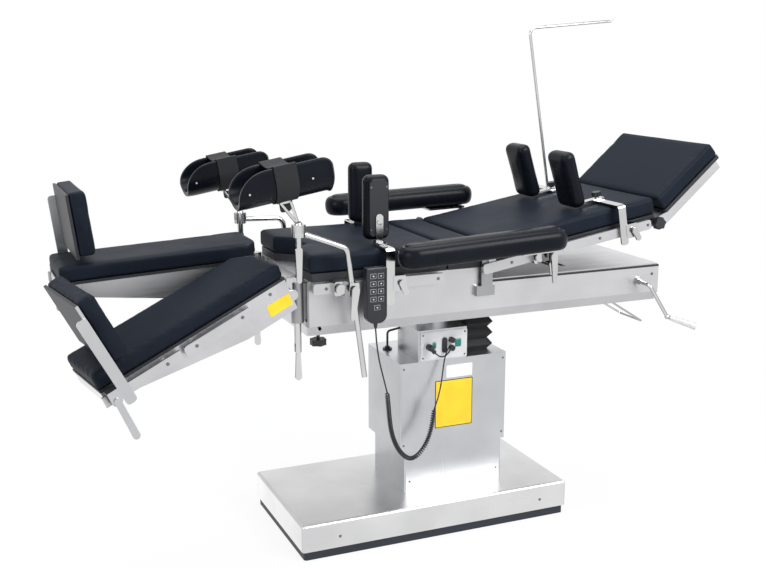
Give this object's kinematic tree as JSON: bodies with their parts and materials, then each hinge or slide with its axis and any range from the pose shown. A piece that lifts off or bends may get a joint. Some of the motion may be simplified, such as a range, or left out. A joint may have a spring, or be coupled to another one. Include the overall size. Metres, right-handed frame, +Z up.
{
  "type": "operating table",
  "caption": "Operating table: sheet steel base and column, tilting beam, black jointed cushions, split leg sections, crutches, arm rests, supports and a corded handset.",
  "frame": {"origin": "centre of the base where it stands on the floor", "axes": "+X towards the head end, +Y to the side without the handset, +Z up"},
  "size_m": [2.1013, 0.7693, 1.5757],
  "materials": {
    "cushion": "satin",
    "brushed_cover": "brushed",
    "polished_rod": "polished",
    "dark_board": "matt",
    "plinth": "matt",
    "bellows": "matt",
    "seal": "matt",
    "box": "satin",
    "switch": "gloss",
    "black_plastic": "matt",
    "grip": "gloss",
    "cord": "satin",
    "casting": "satin"
  },
  "bodies": {
    "base": {"base_plinth": "plinth", "base_cover": "brushed_cover", "column_cover_lower": "brushed_cover", "lift_tube": "casting"},
    "column": {"column_cover_upper": "brushed_cover", "lift_ram": "polished_rod", "control_box": "box", "control_panel": "box", "tilt_bellows": "bellows", "cord_ends": "cord", "cord_coil": "cord"},
    "rocker_left": {"rocker_left": "switch"},
    "rocker_right": {"rocker_right": "switch"},
    "tilt_cross": {"tilt_cross": "casting"},
    "beam": {"beam_housing": "brushed_cover", "beam_seal": "seal", "seat_board": "dark_board", "seat_pad": "cushion", "seat_rails": "brushed_cover", "beam_fittings": "polished_rod", "table_brackets": "casting", "seat_clamps": "polished_rod", "handset": "black_plastic"},
    "kidney_bridge": {"kidney_lift": "dark_board", "kidney_pad": "cushion"},
    "crank": {"crank_arm": "polished_rod"},
    "crank_grip": {"crank_grip": "grip"},
    "beam_knob": {"beam_lock_knob": "black_plastic"},
    "wire_bail": {"wire_bail": "polished_rod"},
    "back": {"back_pad": "cushion", "back_frame": "brushed_cover", "back_clamps": "polished_rod"},
    "head": {"head_pad": "cushion", "head_frame": "brushed_cover"},
    "head_knob": {"head_lock_knob": "black_plastic"},
    "screen": {"screen_rod": "polished_rod"},
    "leg_post_near": {"leg_spindle_near": "polished_rod"},
    "leg_near": {"leg_pad_near": "cushion", "leg_frame_near": "brushed_cover"},
    "leg_lever_near": {"leg_lever_near": "polished_rod"},
    "leg_release_near": {"leg_release_near": "polished_rod"},
    "foot_near": {"foot_pad_near": "cushion", "foot_frame_near": "brushed_cover"},
    "crutch_post_near": {"crutch_rod_near": "polished_rod"},
    "crutch_near": {"crutch_trough_near": "cushion"},
    "arm_rest_near": {"arm_rest_near": "cushion"},
    "shoulder_near": {"shoulder_support_near": "cushion"},
    "side_near": {"side_support_near": "cushion"},
    "leg_post_far": {"leg_spindle_far": "polished_rod"},
    "leg_far": {"leg_pad_far": "cushion", "leg_frame_far": "brushed_cover"},
    "leg_lever_far": {"leg_lever_far": "polished_rod"},
    "leg_release_far": {"leg_release_far": "polished_rod"},
    "foot_far": {"foot_pad_far": "cushion", "foot_frame_far": "brushed_cover"},
    "crutch_post_far": {"crutch_rod_far": "polished_rod"},
    "crutch_far": {"crutch_trough_far": "cushion"},
    "arm_rest_far": {"arm_rest_far": "cushion"},
    "shoulder_far": {"shoulder_support_far": "cushion"},
    "side_far": {"side_support_far": "cushion"}
  },
  "joints": [
    {"name": "column_lift", "type": "slide", "parent": "base", "child": "column", "axis": [0, 0, 1], "range_m": [-0.09, 0.17]},
    {"name": "lateral_tilt", "type": "hinge", "parent": "column", "child": "tilt_cross", "pos_m": [0.05, 0, 0.656], "axis": [1, 0, 0], "range_deg": [-10, 10], "deforming": ["cord_ends"]},
    {"name": "trend_tilt", "type": "hinge", "parent": "tilt_cross", "child": "beam", "pos_m": [0.05, 0, 0.656], "axis": [0, 1, 0], "range_deg": [-16, 16], "deforming": ["tilt_bellows", "cord_ends"]},
    {"name": "rocker_left_tip", "type": "hinge", "parent": "column", "child": "rocker_left", "pos_m": [0.02, -0.129, 0.582], "axis": [1, 0, 0], "range_deg": [-7, 7]},
    {"name": "rocker_right_tip", "type": "hinge", "parent": "column", "child": "rocker_right", "pos_m": [0.101, -0.129, 0.583], "axis": [1, 0, 0], "range_deg": [-7, 7]},
    {"name": "crank_turn", "type": "hinge", "parent": "beam", "child": "crank", "pos_m": [0.69, -0.288, 0.744], "axis": [0, -1, 0], "range_deg": [0, 6480]},
    {"name": "kidney_lift", "type": "slide", "parent": "beam", "child": "kidney_bridge", "axis": [0, 0, 1], "range_m": [0, 0.09]},
    {"name": "crank_grip_spin", "type": "hinge", "parent": "crank", "child": "crank_grip", "pos_m": [0.76381, -0.288, 0.63457], "axis": [0.8733, -0.3596, -0.3288], "continuous": true},
    {"name": "beam_knob_turn", "type": "hinge", "parent": "beam", "child": "beam_knob", "pos_m": [-0.369, -0.17, 0.677], "axis": [0, 0, 1], "continuous": true},
    {"name": "bail_swing", "type": "hinge", "parent": "beam", "child": "wire_bail", "pos_m": [0.655, 0, 0.669], "axis": [0, 1, 0], "range_deg": [-25, 30]},
    {"name": "back_raise", "type": "hinge", "parent": "beam", "child": "back", "pos_m": [0.143, 0, 0.903], "axis": [0, -1, 0], "range_deg": [-5.5, 65]},
    {"name": "head_raise", "type": "hinge", "parent": "back", "child": "head", "pos_m": [0.73797, 0, 0.932], "axis": [0, -1, 0], "range_deg": [-70, 3]},
    {"name": "head_knob_turn", "type": "hinge", "parent": "head", "child": "head_knob", "pos_m": [0.73797, -0.25, 0.932], "axis": [0, -1, 0], "continuous": true},
    {"name": "screen_slide", "type": "slide", "parent": "back", "child": "screen", "axis": [-0.165, 0, 0.9863], "range_m": [-0.25, 0.04]},
    {"name": "leg_swing_near", "type": "hinge", "parent": "beam", "child": "leg_post_near", "pos_m": [-0.44, -0.2, 0.8], "axis": [0, 0, 1], "range_deg": [-9, 11]},
    {"name": "leg_raise_near", "type": "hinge", "parent": "leg_post_near", "child": "leg_near", "pos_m": [-0.48191, -0.12716, 0.806], "axis": [0.1564, -0.9877, 0], "range_deg": [-34, 61]},
    {"name": "leg_lever_turn_near", "type": "hinge", "parent": "leg_post_near", "child": "leg_lever_near", "pos_m": [-0.44, -0.2, 0.643], "axis": [-0.1564, 0.9877, 0], "range_deg": [0, 90]},
    {"name": "leg_release_pull_near", "type": "hinge", "parent": "leg_near", "child": "leg_release_near", "pos_m": [-0.8542, -0.18207, 0.66036], "axis": [-0.1564, 0.9877, 0], "range_deg": [0, 15], "stiffness_Nm_per_rad": 2, "springref_deg": -17.19},
    {"name": "foot_fold_near", "type": "hinge", "parent": "leg_near", "child": "foot_near", "pos_m": [-0.98159, -0.3445, 0.60911], "axis": [0.1564, -0.9877, 0], "range_deg": [-10, 60]},
    {"name": "crutch_swing_near", "type": "hinge", "parent": "beam", "child": "crutch_post_near", "pos_m": [-0.307, -0.286, 0.82], "axis": [-0.1323, 0, 0.9912], "range_deg": [-36, 60]},
    {"name": "crutch_tilt_near", "type": "hinge", "parent": "crutch_post_near", "child": "crutch_near", "pos_m": [-0.462, -0.286, 1.01], "axis": [0, 1, 0], "range_deg": [-20, 20]},
    {"name": "arm_swing_near", "type": "hinge", "parent": "back", "child": "arm_rest_near", "pos_m": [0.32534, -0.286, 0.86761], "axis": [-0.165, 0, 0.9863], "range_deg": [0, 30]},
    {"name": "shoulder_slide_near", "type": "slide", "parent": "back", "child": "shoulder_near", "axis": [0, -1, 0], "range_m": [-0.01, 0.09]},
    {"name": "side_slide_near", "type": "slide", "parent": "beam", "child": "side_near", "axis": [0, -1, 0], "range_m": [-0.02, 0.045]},
    {"name": "leg_swing_far", "type": "hinge", "parent": "beam", "child": "leg_post_far", "pos_m": [-0.44, 0.2, 0.8], "axis": [0, 0, -1], "range_deg": [0, 20]},
    {"name": "leg_raise_far", "type": "hinge", "parent": "leg_post_far", "child": "leg_far", "pos_m": [-0.47, 0.1215, 0.806], "axis": [0, -1, 0], "range_deg": [-12.8, 82.2]},
    {"name": "leg_lever_turn_far", "type": "hinge", "parent": "leg_post_far", "child": "leg_lever_far", "pos_m": [-0.44, 0.2, 0.643], "axis": [0, 1, 0], "range_deg": [0, 90]},
    {"name": "leg_release_pull_far", "type": "hinge", "parent": "leg_far", "child": "leg_release_far", "pos_m": [-0.8735, 0.1175, 0.80629], "axis": [0, 1, 0], "range_deg": [0, 15], "stiffness_Nm_per_rad": 2, "springref_deg": -17.19},
    {"name": "foot_fold_far", "type": "hinge", "parent": "leg_far", "child": "foot_far", "pos_m": [-1.03302, 0.258, 0.81321], "axis": [0, -1, 0], "range_deg": [-10, 60]},
    {"name": "crutch_swing_far", "type": "hinge", "parent": "beam", "child": "crutch_post_far", "pos_m": [-0.307, 0.286, 0.82], "axis": [0.1323, 0, -0.9912], "range_deg": [-14, 60]},
    {"name": "crutch_tilt_far", "type": "hinge", "parent": "crutch_post_far", "child": "crutch_far", "pos_m": [-0.462, 0.286, 0.961], "axis": [0, 1, 0], "range_deg": [-20, 20]},
    {"name": "arm_swing_far", "type": "hinge", "parent": "back", "child": "arm_rest_far", "pos_m": [0.32534, 0.286, 0.86761], "axis": [0.165, 0, -0.9863], "range_deg": [0, 30]},
    {"name": "shoulder_slide_far", "type": "slide", "parent": "back", "child": "shoulder_far", "axis": [0, 1, 0], "range_m": [-0.01, 0.09]},
    {"name": "side_slide_far", "type": "slide", "parent": "beam", "child": "side_far", "axis": [0, 1, 0], "range_m": [-0.02, 0.045]}
  ],
  "couplings": [
    {"joint": "kidney_lift", "follows": "crank_turn", "m_per_rad": 0.00079577}
  ]
}
